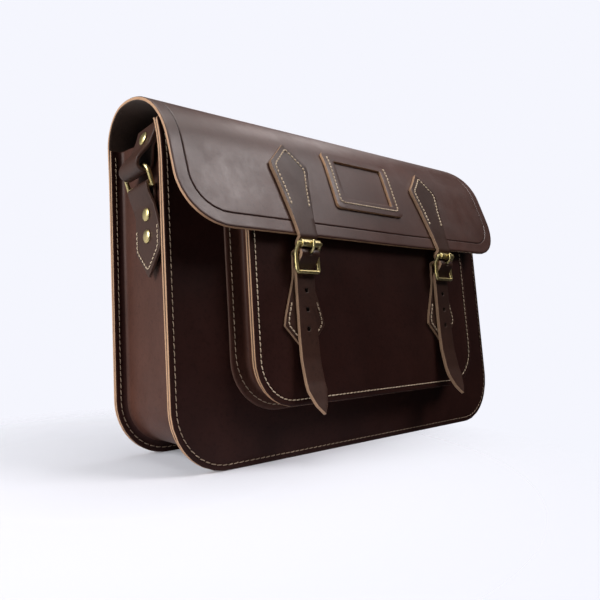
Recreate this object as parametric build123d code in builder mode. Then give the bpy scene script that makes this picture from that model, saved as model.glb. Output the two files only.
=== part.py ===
from build123d import *
import os
from math import cos, radians, sin, sqrt, tan

# Classic leather satchel bag.
# Frame: +Z up, +Y to the back of the bag, +X to its right.
# The origin is in the middle of the back panel's bottom edge.
# The pieces are drawn about the middle of the bag's depth and moved forward when they are saved.

# ---- bag body --------------------------------------------------------------------------------------------
BAG_WIDTH = 380.0
BAG_DEPTH = 86.0
LEATHER = 3.0
GUSSET_LEATHER = 2.6
CORNER_R = 44.0
FRONT_TOP = 246.5
LEAN_Z = 212.0
LEAN_R = 100.0
HINGE_Z = 245.0
HINGE_GAP = 0.3
FLANGE = 10.0
GUSSET_DIP_Z = 240.5
GUSSET_EDGE_Z = 244.5

# ---- flap ------------------------------------------------------------------------------------------------
FLAP_WIDTH = 382.0
BACK_ARCH_R = 29.0
FRONT_ARCH_R = 70.0
FRONT_ARCH_ANGLE = 75.0
FLAP_BOTTOM = 160.0
FLAP_CORNER_R = 38.0
WINDOW_LEATHER = 2.2
WINDOW_HALF = 41.5
WINDOW_Z = (188.0, 238.5)
OPENING_HALF = 30.0
OPENING_Z = (197.0, 231.0)

# ---- front pocket ----------------------------------------------------------------------------------------
POCKET_LEATHER = 2.4
POCKET_DEPTH = 19.0
POCKET_TOP = 175.0
POCKET_BASE_HALF = 141.0
POCKET_BASE_Z = 36.0
POCKET_BASE_R = 42.0
POCKET_HALF = 133.0
POCKET_Z = 39.5
POCKET_R = 34.0
POCKET_WALL_HALF = 126.5
POCKET_WALL_Z = 46.5
POCKET_WALL_R = 27.5

# ---- closing straps, tabs and buckles --------------------------------------------------------------------
STRAP_X = 86.0
STRAP_WIDTH = 18.0
STRAP_LEATHER = 2.8
SPADE_HALF = 18.5
STRAP_TOP = 236.5
STRAP_TIP = 34.0
STRAP_HOLES_Z = (136.0, 121.5, 107.5, 93.5)
HOLE_R = 1.8
PRONG_HOLE_R = 2.1
PRONG_HOLE_Z = 148.6
TAB_LEATHER = 2.2
CENTRE_BAR = (-65.9, 147.5)
ROLLER_BAR = (-73.0, 154.8)
BOTTOM_BAR = (-70.0, 134.5)
BAR_R = 1.4
WIRE_R = 1.5
RAIL_X = 10.9
ROLLER_R = 2.8
ROLLER_HALF = 8.9
PRONG_R = 1.0

# ---- D-rings, chapes and shoulder strap ------------------------------------------------------------------
CHAPE_LEATHER = 2.4
RING_Y = -2.5
RING_BAR_Z = 201.5
RING_WIRE_R = 1.7
RING_HALF = 17.3
RING_HEIGHT = 15.5
RING_CORNER_R = 6.5
RING_LEAN = 18.0
CHAPE_HALF = 14.5
CHAPE_LOW_HALF = 17.8
CHAPE_LOW_Y = -9.6
CHAPE_RIVETS_Z = (180.8, 164.6)
RIVET_HEAD_R = 4.4
RIVET_SHANK_R = 1.5
SHOULDER_WIDTH = 29.0
SHOULDER_LEATHER = 2.8
SHOULDER_LEAN = 10.0
SHOULDER_RIVET = 21.0
SHORT_PLY = 31.0
RISER_X = 161.0
FOLD_X = 142.0
LAYER_Z = (14.4, 24.4, 34.4)

Y_FRONT = -BAG_DEPTH / 2
Y_BACK = BAG_DEPTH / 2
HALF = BAG_WIDTH / 2
WALL_X = HALF - FLANGE
ARCH_Y = Y_BACK - BACK_ARCH_R
ARCH_Z = HINGE_Z + HINGE_GAP
ARCH_TOP = ARCH_Z + BACK_ARCH_R
FRONT_ARCH_Z = ARCH_TOP - FRONT_ARCH_R
SLOPE = radians(90.0 - FRONT_ARCH_ANGLE)
POCKET_FRONT = Y_FRONT - POCKET_DEPTH
RING_BAR_X = -WALL_X - 2 * CHAPE_LEATHER + 0.2


def flap_point(angle, out):
    """Point (y, z) on the front arch, angle in degrees from its top, out from the flap's outer face."""
    r = FRONT_ARCH_R + out
    return (ARCH_Y - r * sin(radians(angle)), FRONT_ARCH_Z + r * cos(radians(angle)))


def slope_point(z, out):
    """Point (y, z) on the straight lower part of the flap, out from its outer face."""
    y0, z0 = flap_point(FRONT_ARCH_ANGLE, out)
    return (y0 - (z0 - z) * tan(SLOPE), z)


def flap_band(inner, outer, first_angle, last_z):
    """Closed outline in the YZ plane between two offsets of the flap's front arch and slope."""
    a = flap_point(first_angle, inner)
    b = flap_point(first_angle, outer)
    mid = (first_angle + FRONT_ARCH_ANGLE) / 2
    ThreePointArc(a, flap_point(mid, inner), flap_point(FRONT_ARCH_ANGLE, inner))
    Line(flap_point(FRONT_ARCH_ANGLE, inner), slope_point(last_z, inner))
    Line(slope_point(last_z, inner), slope_point(last_z, outer))
    Line(slope_point(last_z, outer), flap_point(FRONT_ARCH_ANGLE, outer))
    ThreePointArc(flap_point(FRONT_ARCH_ANGLE, outer), flap_point(mid, outer), b)
    Line(b, a)


def tub_outline(half, bottom, top, radius):
    """U shape with two rounded lower corners and square top corners, drawn in the XZ plane."""
    FilletPolyline((-half, top), (-half, bottom), (half, bottom), (half, top), radius=radius)
    Line((half, top), (-half, top))


def front_band(outer, inner, top):
    """Closed outline in the YZ plane between two depths behind the front face, which leans back on top."""
    centre = (Y_FRONT + LEAN_R, LEAN_Z)
    outer_r = LEAN_R - outer
    inner_r = LEAN_R - inner
    rise = top - LEAN_Z
    outer_top = (centre[0] - sqrt(outer_r**2 - rise**2), top)
    inner_top = (centre[0] - sqrt(inner_r**2 - rise**2), top)
    Line((Y_FRONT + outer, 0), (Y_FRONT + outer, LEAN_Z))
    RadiusArc((Y_FRONT + outer, LEAN_Z), outer_top, outer_r)
    Line(outer_top, inner_top)
    RadiusArc(inner_top, (Y_FRONT + inner, LEAN_Z), -inner_r)
    Line((Y_FRONT + inner, LEAN_Z), (Y_FRONT + inner, 0))
    Line((Y_FRONT + inner, 0), (Y_FRONT + outer, 0))


# ---- back panel: the lower part of the long sheet that also makes the flap -------------------------------
with BuildPart() as back_panel:
    with BuildSketch(Plane.XZ.offset(-Y_BACK)):
        with BuildLine():
            tub_outline(HALF, 0, HINGE_Z, CORNER_R)
        make_face()
    extrude(amount=LEATHER)

# ---- flap: arch over the top and the front drop, one thickness of leather --------------------------------
with BuildPart() as flap:
    with BuildSketch(Plane.YZ):
        with BuildLine():
            Line((Y_BACK - LEATHER, ARCH_Z), (Y_BACK, ARCH_Z))
            CenterArc((ARCH_Y, ARCH_Z), BACK_ARCH_R, 0, 90)
            CenterArc((ARCH_Y, FRONT_ARCH_Z), FRONT_ARCH_R, 90, FRONT_ARCH_ANGLE)
            Line(flap_point(FRONT_ARCH_ANGLE, 0), slope_point(FLAP_BOTTOM, 0))
            Line(slope_point(FLAP_BOTTOM, 0), slope_point(FLAP_BOTTOM, -LEATHER))
            Line(slope_point(FLAP_BOTTOM, -LEATHER), flap_point(FRONT_ARCH_ANGLE, -LEATHER))
            CenterArc((ARCH_Y, FRONT_ARCH_Z), FRONT_ARCH_R - LEATHER, 90, FRONT_ARCH_ANGLE)
            CenterArc((ARCH_Y, ARCH_Z), BACK_ARCH_R - LEATHER, 0, 90)
        make_face()
    extrude(amount=FLAP_WIDTH / 2, both=True)
    with BuildSketch(Plane.XZ):
        with BuildLine():
            tub_outline(FLAP_WIDTH / 2, FLAP_BOTTOM, 400, FLAP_CORNER_R)
        make_face()
    extrude(amount=150, both=True, mode=Mode.INTERSECT)

# ---- name window: a stitched frame on the flap -----------------------------------------------------------
with BuildPart() as window_frame:
    with BuildSketch(Plane.YZ):
        with BuildLine():
            flap_band(0.0, WINDOW_LEATHER, 40, 180)
        make_face()
    extrude(amount=WINDOW_HALF + 5, both=True)
    with BuildSketch(Plane.XZ):
        with Locations((0, sum(WINDOW_Z) / 2)):
            RectangleRounded(2 * WINDOW_HALF, WINDOW_Z[1] - WINDOW_Z[0], 4)
        with Locations((0, sum(OPENING_Z) / 2)):
            RectangleRounded(2 * OPENING_HALF, OPENING_Z[1] - OPENING_Z[0], 1.5, mode=Mode.SUBTRACT)
    extrude(amount=150, both=True, mode=Mode.INTERSECT)

# ---- front panel -----------------------------------------------------------------------------------------
with BuildPart() as front_panel:
    with BuildSketch(Plane.YZ):
        with BuildLine():
            front_band(0, LEATHER, FRONT_TOP)
        make_face()
    extrude(amount=HALF, both=True)
    with BuildSketch(Plane.XZ):
        with BuildLine():
            FilletPolyline(
                (-HALF + 9, FRONT_TOP), (-HALF, FRONT_TOP), (-HALF, 0), (HALF, 0), (HALF, FRONT_TOP),
                (HALF - 9, FRONT_TOP),
                radius=[5, CORNER_R, CORNER_R, 5],
            )
            Line((HALF - 9, FRONT_TOP), (-HALF + 9, FRONT_TOP))
        make_face()
    extrude(amount=BAG_DEPTH, both=True, mode=Mode.INTERSECT)


# ---- main gusset: sides and bottom in one strip, both edges turned out against the panels ----------------
with BuildPart() as gusset:
    inner_half = WALL_X - GUSSET_LEATHER
    inner_z = FLANGE + GUSSET_LEATHER
    inner_r = CORNER_R - FLANGE - GUSSET_LEATHER
    wall_y = BAG_DEPTH / 2 - LEATHER
    with BuildSketch(Plane.XZ.offset(-wall_y)):
        with BuildLine():
            tub_outline(WALL_X, FLANGE, GUSSET_EDGE_Z, CORNER_R - FLANGE)
        make_face()
    extrude(amount=2 * wall_y)
    with BuildSketch(Plane.XZ.offset(-wall_y)):
        with BuildLine():
            tub_outline(HALF, 0, GUSSET_EDGE_Z, CORNER_R)
        make_face()
    extrude(amount=GUSSET_LEATHER)
    with BuildSketch(Plane.YZ):
        with BuildLine():
            front_band(-FLANGE, LEATHER, FRONT_TOP)
        make_face()
    extrude(amount=BAG_WIDTH, both=True, mode=Mode.SUBTRACT)
    with BuildSketch(Plane.YZ):
        with BuildLine():
            front_band(LEATHER, LEATHER + GUSSET_LEATHER, GUSSET_EDGE_Z)
        make_face()
    flange_block = extrude(amount=HALF, both=True, mode=Mode.PRIVATE)
    with BuildSketch(Plane.XZ.offset(-wall_y)):
        with BuildLine():
            tub_outline(HALF, 0, GUSSET_EDGE_Z, CORNER_R)
        make_face()
    outline_block = extrude(amount=2 * wall_y, mode=Mode.PRIVATE)
    add(flange_block & outline_block)
    with BuildSketch(Plane.XZ.offset(-wall_y)):
        with BuildLine():
            tub_outline(inner_half, inner_z, GUSSET_EDGE_Z, inner_r)
        make_face()
    extrude(amount=2 * wall_y, mode=Mode.SUBTRACT)
    with BuildSketch(Plane.YZ):
        with BuildLine():
            ThreePointArc((-wall_y + 8, GUSSET_EDGE_Z), (0, GUSSET_DIP_Z), (wall_y - 4, GUSSET_EDGE_Z))
            Line((wall_y - 4, GUSSET_EDGE_Z), (-wall_y + 8, GUSSET_EDGE_Z))
        make_face()
    extrude(amount=HALF, both=True, mode=Mode.SUBTRACT)
    with BuildSketch(Plane.YZ):
        with Locations(*[(CHAPE_LOW_Y, z) for z in CHAPE_RIVETS_Z]):
            Circle(RIVET_SHANK_R)
    extrude(amount=HALF, both=True, mode=Mode.SUBTRACT)

# ---- front pocket: gusset strip and face panel -----------------------------------------------------------
with BuildPart() as pocket_gusset:
    flange_back = POCKET_FRONT + POCKET_LEATHER
    with BuildSketch(Plane.XZ.offset(-Y_FRONT)):
        with BuildLine():
            tub_outline(POCKET_BASE_HALF, POCKET_BASE_Z, POCKET_TOP, POCKET_BASE_R)
        make_face()
    extrude(amount=POCKET_LEATHER)
    with BuildSketch(Plane.XZ.offset(-Y_FRONT)):
        with BuildLine():
            tub_outline(POCKET_WALL_HALF, POCKET_WALL_Z, POCKET_TOP, POCKET_WALL_R)
        make_face()
    extrude(amount=POCKET_DEPTH - POCKET_LEATHER)
    with BuildSketch(Plane.XZ.offset(-flange_back)):
        with BuildLine():
            tub_outline(POCKET_HALF, POCKET_Z, POCKET_TOP, POCKET_R)
        make_face()
    extrude(amount=-POCKET_LEATHER)
    with BuildSketch(Plane.XZ.offset(-Y_FRONT)):
        with BuildLine():
            tub_outline(
                POCKET_WALL_HALF - POCKET_LEATHER,
                POCKET_WALL_Z + POCKET_LEATHER,
                POCKET_TOP,
                POCKET_WALL_R - POCKET_LEATHER,
            )
        make_face()
    extrude(amount=POCKET_DEPTH, mode=Mode.SUBTRACT)

with BuildPart() as pocket_panel:
    with BuildSketch(Plane.XZ.offset(-POCKET_FRONT)):
        with BuildLine():
            tub_outline(POCKET_HALF, POCKET_Z, POCKET_TOP, POCKET_R)
        make_face()
    extrude(amount=-POCKET_LEATHER)


def mirrored(part):
    """The same piece on the other side of the bag."""
    return mirror(part, about=Plane.YZ)


# ---- closing straps: stitched to the flap, threaded through the buckle, tail hanging free ----------------
with BuildPart() as closing_strap:
    half_t = STRAP_LEATHER / 2 + 0.1
    slope_end = slope_point(159.2, half_t)
    with BuildSketch(Plane.YZ):
        with BuildLine():
            first = ThreePointArc(
                flap_point(58, half_t), flap_point(66, half_t), flap_point(FRONT_ARCH_ANGLE, half_t)
            )
            run = FilletPolyline(
                first @ 1, slope_end, (-68.6, 157.5), (-68.6, 153.0), (-73.6, 148.0), (-65.9, 138.0),
                (-65.9, 88.0),
                radius=[1.9, 3.4, 3.4, 2.6, 4.0],
            )
            RadiusArc(run @ 1, (-77.2, STRAP_TIP - 1), 133)
            offset(amount=STRAP_LEATHER / 2, side=Side.BOTH)
        make_face()
    extrude(amount=24, both=True)
    with BuildSketch(Plane.XZ):
        with BuildLine():
            strap_half = STRAP_WIDTH / 2
            right = Spline((SPADE_HALF, 214), (15.8, 203), (12.8, 187), (10.5, 174), (strap_half, 160))
            Line((SPADE_HALF, 214), (SPADE_HALF, 219))
            Polyline((SPADE_HALF, 219), (0, STRAP_TOP), (-SPADE_HALF, 219), (-SPADE_HALF, 214))
            left = Spline((-SPADE_HALF, 214), (-15.8, 203), (-12.8, 187), (-10.5, 174), (-strap_half, 160))
            tail = [(-strap_half, 50), (-5.0, 40), (0, STRAP_TIP), (5.0, 40), (strap_half, 50)]
            Polyline(left @ 1, *tail, right @ 1)
        make_face()
        with Locations(*[(0, z) for z in STRAP_HOLES_Z]):
            Circle(HOLE_R, mode=Mode.SUBTRACT)
        with Locations((0, PRONG_HOLE_Z)):
            Circle(PRONG_HOLE_R, mode=Mode.SUBTRACT)
    extrude(amount=150, both=True, mode=Mode.INTERSECT)

# ---- buckle tabs: folded round the buckle's centre bar, stitched to the pocket ---------------------------
with BuildPart() as buckle_tab:
    tab_half = STRAP_WIDTH / 2
    with BuildSketch(Plane.YZ):
        with Locations(CENTRE_BAR):
            Circle(BAR_R + 0.3 + TAB_LEATHER)
        with BuildLine():
            Polyline(
                (POCKET_FRONT, 70), (POCKET_FRONT, 147.5), (CENTRE_BAR[0], 151.2), (-69.6, 148.4),
                (-69.6, 146.6), (-66.3, 141.4), (-64.3, 141.4), (-64.2, 70), (POCKET_FRONT, 70),
            )
        make_face()
        with Locations(CENTRE_BAR):
            Circle(BAR_R + 0.1, mode=Mode.SUBTRACT)
    extrude(amount=24, both=True)
    with BuildSketch(Plane.XZ):
        with BuildLine():
            tab_right = Spline((tab_half, 134), (11.2, 125), (15.2, 113), (18.8, 102))
            tab_left = Spline((-tab_half, 134), (-11.2, 125), (-15.2, 113), (-18.8, 102))
            Polyline(tab_right @ 0, (tab_half, 160), (-tab_half, 160), tab_left @ 0)
            Polyline(tab_left @ 1, (-20, 96), (0, 75.5), (20, 96), tab_right @ 1)
        make_face()
    extrude(amount=150, both=True, mode=Mode.INTERSECT)
    with Locations((0, -67.7, 145.9)):
        Box(5.4, 7.0, 11.8, mode=Mode.SUBTRACT)
    with Locations((0, -63.5, 147.5)):
        Box(5.4, 4.0, 7.8, mode=Mode.SUBTRACT)

# ---- buckle frames: two bars and a centre bar joined by curved side rails --------------------------------
frame_top = 146.6
rail_foot = (-66.6, frame_top)
frame_lean = Plane(
    origin=(0, BOTTOM_BAR[0], BOTTOM_BAR[1]),
    x_dir=(1, 0, 0),
    z_dir=Vector(0, -(frame_top - BOTTOM_BAR[1]), rail_foot[0] - BOTTOM_BAR[0]),
)
rail_rise = sqrt((rail_foot[0] - BOTTOM_BAR[0]) ** 2 + (frame_top - BOTTOM_BAR[1]) ** 2)
with BuildPart() as buckle_frame:
    with BuildLine(frame_lean) as bottom_u:
        FilletPolyline((-RAIL_X, rail_rise), (-RAIL_X, 0), (RAIL_X, 0), (RAIL_X, rail_rise), radius=2.8)
    with BuildSketch(Plane(origin=bottom_u.wire() @ 0, z_dir=bottom_u.wire() % 0)):
        Circle(WIRE_R)
    sweep(path=bottom_u.wire())
    for side in (-RAIL_X, RAIL_X):
        with BuildLine(Plane.YZ.offset(side)) as rail:
            ThreePointArc(rail_foot, (-68.4, 151.9), ROLLER_BAR)
        with BuildSketch(Plane(origin=rail.wire() @ 0, z_dir=rail.wire() % 0)):
            Circle(WIRE_R)
        sweep(path=rail.wire())
    for bar in (CENTRE_BAR, ROLLER_BAR):
        with Locations(Location((0, bar[0], bar[1]), (0, 90, 0))):
            Cylinder(BAR_R, 2 * RAIL_X + 2.4)

with BuildPart() as roller:
    with Locations(Location((0, ROLLER_BAR[0], ROLLER_BAR[1]), (0, 90, 0))):
        Cylinder(ROLLER_R, 2 * ROLLER_HALF)
        Cylinder(BAR_R + 0.05, 2 * ROLLER_HALF + 1, mode=Mode.SUBTRACT)
    fillet(roller.edges().filter_by(GeomType.CIRCLE).sort_by(SortBy.RADIUS)[-2:], 0.6)

with BuildPart() as prong:
    with Locations(Location((0, CENTRE_BAR[0], CENTRE_BAR[1]), (0, 90, 0))):
        Cylinder(BAR_R + 1.35, 4.4)
    with BuildLine(Plane.YZ) as prong_line:
        FilletPolyline(
            (CENTRE_BAR[0] - 1.0, 148.2), (-74.6, 148.7), (-77.2, 151.8), (-77.1, 156.2), radius=2.0
        )
    with BuildSketch(Plane(origin=prong_line.wire() @ 0, z_dir=prong_line.wire() % 0)):
        Circle(PRONG_R)
    sweep(path=prong_line.wire())
    with Locations(prong_line.wire() @ 1):
        Sphere(PRONG_R)
    with Locations(Location((0, CENTRE_BAR[0], CENTRE_BAR[1]), (0, 90, 0))):
        Cylinder(BAR_R + 0.05, 6, mode=Mode.SUBTRACT)

# ---- D-ring chapes: a leather loop round the ring's bar, riveted and stitched to the gusset --------------
with BuildPart() as chape:
    x_skin = -WALL_X
    x_mid = x_skin - CHAPE_LEATHER
    x_out = x_skin - 2 * CHAPE_LEATHER
    with BuildSketch(Plane.XZ):
        with Locations((RING_BAR_X, RING_BAR_Z)):
            Circle(RING_WIRE_R + 0.2 + CHAPE_LEATHER)
        with BuildLine():
            Polyline(
                (x_skin, 156), (x_skin, RING_BAR_Z), (RING_BAR_X - 4.2, RING_BAR_Z - 1.0), (x_out, 188),
                (x_out, 130), (x_mid, 130), (x_mid, 156), (x_skin, 156),
            )
        make_face()
        with Locations((RING_BAR_X, RING_BAR_Z)):
            Circle(RING_WIRE_R + 0.06, mode=Mode.SUBTRACT)
    extrude(amount=35, both=True)
    with BuildSketch(Plane.YZ):
        with BuildLine():
            low_front = CHAPE_LOW_Y - CHAPE_LOW_HALF
            low_back = CHAPE_LOW_Y + CHAPE_LOW_HALF
            front_edge = Spline((RING_Y - CHAPE_HALF, 194), (-22.6, 180), (low_front, 165))
            back_edge = Spline((RING_Y + CHAPE_HALF, 194), (7.6, 180), (low_back, 165))
            Polyline(front_edge @ 0, (RING_Y - CHAPE_HALF, 220), (RING_Y + CHAPE_HALF, 220), back_edge @ 0)
            Polyline(front_edge @ 1, (low_front, 154), (CHAPE_LOW_Y, 134), (low_back, 154), back_edge @ 1)
        make_face()
        with Locations(*[(CHAPE_LOW_Y, z) for z in CHAPE_RIVETS_Z]):
            Circle(RIVET_SHANK_R, mode=Mode.SUBTRACT)
    extrude(amount=250, both=True, mode=Mode.INTERSECT)

with BuildPart() as chape_rivets:
    head_x = -WALL_X - 2 * CHAPE_LEATHER
    burr_x = -WALL_X + GUSSET_LEATHER
    for z in CHAPE_RIVETS_Z:
        with Locations(Location((head_x - 0.8, CHAPE_LOW_Y, z), (0, 90, 0))):
            Cylinder(RIVET_HEAD_R, 1.6)
        with Locations(Location(((head_x + burr_x) / 2, CHAPE_LOW_Y, z), (0, 90, 0))):
            Cylinder(RIVET_SHANK_R, burr_x - head_x)
        with Locations(Location((burr_x + 0.5, CHAPE_LOW_Y, z), (0, 90, 0))):
            Cylinder(RIVET_HEAD_R - 0.6, 1.0)
    rims = chape_rivets.edges().filter_by(GeomType.CIRCLE).group_by(Axis.X)[0]
    fillet(rims, 1.1)

lean = radians(RING_LEAN)
ring_up = Vector(-sin(lean), 0, cos(lean))
ring_plane = Plane(
    origin=(RING_BAR_X, RING_Y, RING_BAR_Z), x_dir=(0, 1, 0), z_dir=Vector(0, 1, 0).cross(ring_up)
)
with BuildPart() as d_ring:
    with BuildLine(ring_plane) as ring_line:
        Line((0, 0), (RING_HALF, 0))
        FilletPolyline(
            (RING_HALF, 0), (RING_HALF, RING_HEIGHT), (-RING_HALF, RING_HEIGHT), (-RING_HALF, 0),
            radius=RING_CORNER_R,
        )
        Line((-RING_HALF, 0), (0, 0))
    for edge in ring_line.edges():
        with BuildSketch(Plane(origin=edge @ 0, z_dir=edge % 0)):
            Circle(RING_WIRE_R)
        sweep(path=edge)
    with Locations(*[ring_plane.from_local_coords((s * RING_HALF, 0, 0)) for s in (-1, 1)]):
        Sphere(RING_WIRE_R + 0.01)

# ---- shoulder strap: both ends looped through the D-rings, the rest folded flat on the bag's floor -------
ring_top = (RING_BAR_X - RING_HEIGHT * sin(lean), RING_BAR_Z + RING_HEIGHT * cos(lean))
leg = (sin(radians(SHOULDER_LEAN)), cos(radians(SHOULDER_LEAN)))
side_dir = (leg[1], -leg[0])
ply = SHOULDER_LEATHER / 2


def leg_point(along, across):
    """Point (x, z) along the left strap end from the ring's top wire; across is towards the inside."""
    return (
        ring_top[0] + along * leg[0] + across * side_dir[0],
        ring_top[1] + along * leg[1] + across * side_dir[1],
    )


def other_side(point):
    """The mirrored point on the right of the bag."""
    return (-point[0], point[1])


shoulder_path = [
    leg_point(7, ply),
    leg_point(SHORT_PLY, ply),
    (-174.5, 251.0),
    (-RISER_X, 246.0),
    (-RISER_X, 60.0),
    (-FOLD_X, LAYER_Z[0]),
    (FOLD_X, LAYER_Z[0]),
    (FOLD_X, LAYER_Z[1]),
    (-FOLD_X, LAYER_Z[1]),
    (-FOLD_X, LAYER_Z[2]),
    (RISER_X, LAYER_Z[2]),
    (RISER_X, 246.0),
    (174.5, 251.0),
    other_side(leg_point(SHORT_PLY, ply)),
    other_side(leg_point(7, ply)),
]

with BuildPart() as shoulder_strap:
    with BuildSketch(Plane.XZ.offset(-RING_Y)):
        with BuildLine():
            FilletPolyline(*shoulder_path, radius=4.9)
            offset(amount=ply, side=Side.BOTH)
        make_face()
        for flip in (False, True):
            ends = [
                leg_point(0, 6.2), leg_point(8, 2 * ply), leg_point(8, 0), leg_point(SHORT_PLY, 0),
                leg_point(SHORT_PLY, -2 * ply), leg_point(8, -2 * ply), leg_point(0, -6.2),
                leg_point(0, 6.2),
            ]
            hole = ring_top
            if flip:
                ends = [other_side(p) for p in ends]
                hole = other_side(ring_top)
            with BuildLine():
                Polyline(*ends)
            make_face()
            with Locations(hole):
                Circle(6.2)
                Circle(3.5, mode=Mode.SUBTRACT)
    extrude(amount=SHOULDER_WIDTH / 2, both=True)
    for flip in (1, -1):
        rivet_at = leg_point(SHOULDER_RIVET, 0)
        rivet_axis = (flip * side_dir[0], 0, side_dir[1])
        with BuildSketch(Plane(origin=(flip * rivet_at[0], RING_Y, rivet_at[1]), z_dir=rivet_axis)):
            Circle(RIVET_SHANK_R)
        extrude(amount=8, both=True, mode=Mode.SUBTRACT)

with BuildPart() as strap_rivets:
    for flip in (1, -1):
        across = (flip * side_dir[0], 0, side_dir[1])
        head = leg_point(SHOULDER_RIVET, -2 * ply)
        burr = leg_point(SHOULDER_RIVET, 2 * ply)
        head_plane = Plane(origin=(flip * head[0], RING_Y, head[1]), z_dir=across)
        burr_plane = Plane(origin=(flip * burr[0], RING_Y, burr[1]), z_dir=across)
        with BuildSketch(head_plane):
            Circle(RIVET_HEAD_R)
        extrude(amount=-1.5)
        with BuildSketch(head_plane):
            Circle(RIVET_SHANK_R)
        extrude(amount=4 * ply)
        with BuildSketch(burr_plane):
            Circle(RIVET_HEAD_R - 0.6)
        extrude(amount=1.0)

# ---- one STEP file per node ------------------------------------------------------------------------------
pieces = {
    "back_panel": back_panel.part,
    "flap": flap.part,
    "window_frame": window_frame.part,
    "front_panel": front_panel.part,
    "gusset": gusset.part,
    "pocket_gusset": pocket_gusset.part,
    "pocket_panel": pocket_panel.part,
    "shoulder_strap": shoulder_strap.part,
    "strap_rivets": strap_rivets.part,
    "chape_left": chape.part,
    "chape_right": mirrored(chape.part),
    "chape_rivets_left": chape_rivets.part,
    "chape_rivets_right": mirrored(chape_rivets.part),
    "d_ring_left": d_ring.part,
    "d_ring_right": mirrored(d_ring.part),
}
for side_name, x in (("left", -STRAP_X), ("right", STRAP_X)):
    for piece_name, builder in (
        ("closing_strap", closing_strap),
        ("buckle_tab", buckle_tab),
        ("buckle_frame", buckle_frame),
        ("roller", roller),
        ("prong", prong),
    ):
        pieces[f"{piece_name}_{side_name}"] = Pos(x, 0, 0) * builder.part

to_back_edge = Pos(0, LEATHER / 2 - Y_BACK, 0)
os.makedirs("parts", exist_ok=True)
for label, drawn in pieces.items():
    solid = to_back_edge * drawn
    solid.label = label
    export_step(solid, f"parts/{label}.step")
    print(label, round(solid.volume, 1), len(solid.solids()), solid.is_valid)
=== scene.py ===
import math
import random

import bmesh
import bpy
import numpy as np
from mathutils import Matrix, Vector


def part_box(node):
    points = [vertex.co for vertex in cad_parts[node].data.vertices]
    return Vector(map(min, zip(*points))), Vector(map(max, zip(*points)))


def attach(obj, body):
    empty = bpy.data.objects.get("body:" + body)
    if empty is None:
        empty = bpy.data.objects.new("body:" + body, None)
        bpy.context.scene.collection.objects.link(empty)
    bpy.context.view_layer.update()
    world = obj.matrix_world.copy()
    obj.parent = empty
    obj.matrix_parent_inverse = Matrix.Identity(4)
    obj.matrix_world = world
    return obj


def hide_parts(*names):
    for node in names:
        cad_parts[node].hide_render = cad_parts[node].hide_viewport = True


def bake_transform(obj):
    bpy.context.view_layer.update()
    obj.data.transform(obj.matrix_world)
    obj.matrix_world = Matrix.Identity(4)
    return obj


# Classic leather satchel. Meshes are drawn in millimetres in the frame's own axes and stored in metres.
MM = 0.001
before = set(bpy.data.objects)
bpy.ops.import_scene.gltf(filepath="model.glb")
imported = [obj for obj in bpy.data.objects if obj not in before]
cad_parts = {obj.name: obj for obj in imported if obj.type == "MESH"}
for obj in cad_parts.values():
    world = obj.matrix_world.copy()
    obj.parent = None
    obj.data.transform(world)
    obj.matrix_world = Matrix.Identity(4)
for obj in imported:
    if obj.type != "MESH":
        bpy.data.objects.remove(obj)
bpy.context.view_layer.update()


# ---- measures read from the frame ----------------------------------------------------------------
def mm_box(node):
    """Lowest and highest corner of a CAD node in millimetres."""
    lo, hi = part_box(node)
    return lo / MM, hi / MM


back_lo, back_hi = mm_box("back_panel")
front_lo, front_hi = mm_box("front_panel")
flap_lo, flap_hi = mm_box("flap")
gusset_hi = mm_box("gusset")[1]
pocket_lo, pocket_hi = mm_box("pocket_panel")
pocket_base_lo, pocket_base_hi = mm_box("pocket_gusset")
window_lo, window_hi = mm_box("window_frame")
strap_lo, strap_hi = mm_box("closing_strap_left")

LEATHER = back_hi.y - back_lo.y
GUSSET_LEATHER = 2.6
POCKET_LEATHER = pocket_hi.y - pocket_lo.y
FLANGE = 10.0
PANEL_HALF = back_hi.x
WALL_X = PANEL_HALF - FLANGE
PANEL_R = 44.0
FLAP_R = 38.0
FRONT_Y = front_lo.y
LEAN_Z = 212.0
LEAN_R = 100.0
MID_Y = (FRONT_Y + back_hi.y) / 2
BACK_ARCH_R = 29.0
FRONT_ARCH_R = 70.0
FRONT_ARCH_ANGLE = 75.0
ARCH_Y = back_hi.y - BACK_ARCH_R
ARCH_Z = flap_hi.z - BACK_ARCH_R
FRONT_ARCH_Z = flap_hi.z - FRONT_ARCH_R
STRAP_X = (strap_lo.x + strap_hi.x) / 2
STITCH_PITCH = 4.8
PUNCHED = 3.0
PALE_RIM = 0.2
CREASE = 10.6
CREASE_DEPTH = 0.6
SEAM_DEPTH = 0.3
SEAM_INSET = 4.0

# Order of the materials on a leather piece.
FACE, EDGE, FLESH, SHADE, FLANGE_SHADE = range(5)


# ---- lines in a plane ----------------------------------------------------------------------------
def arc(centre, radius, start, end, step=3.0):
    """Points on an arc; angles in degrees from the first axis towards the second."""
    count = max(2, int(abs(end - start) / step) + 1)
    turns = np.radians(np.linspace(start, end, count))
    return [(centre[0] + radius * math.cos(t), centre[1] + radius * math.sin(t)) for t in turns]


def soften(points, reach, step=0.5):
    """The same line with its corners eased over about reach millimetres; its ends stay put."""
    p = np.array(points, float)
    s = np.concatenate([[0], np.cumsum(np.linalg.norm(np.diff(p, axis=0), axis=1))])
    even = np.linspace(0, s[-1], max(2, int(s[-1] / step)))
    p = np.stack([np.interp(even, s, p[:, k]) for k in range(p.shape[1])], 1)
    for _ in range(int((reach / step) ** 2)):
        p[1:-1] = (p[:-2] + 2 * p[1:-1] + p[2:]) / 4
    return p


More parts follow.
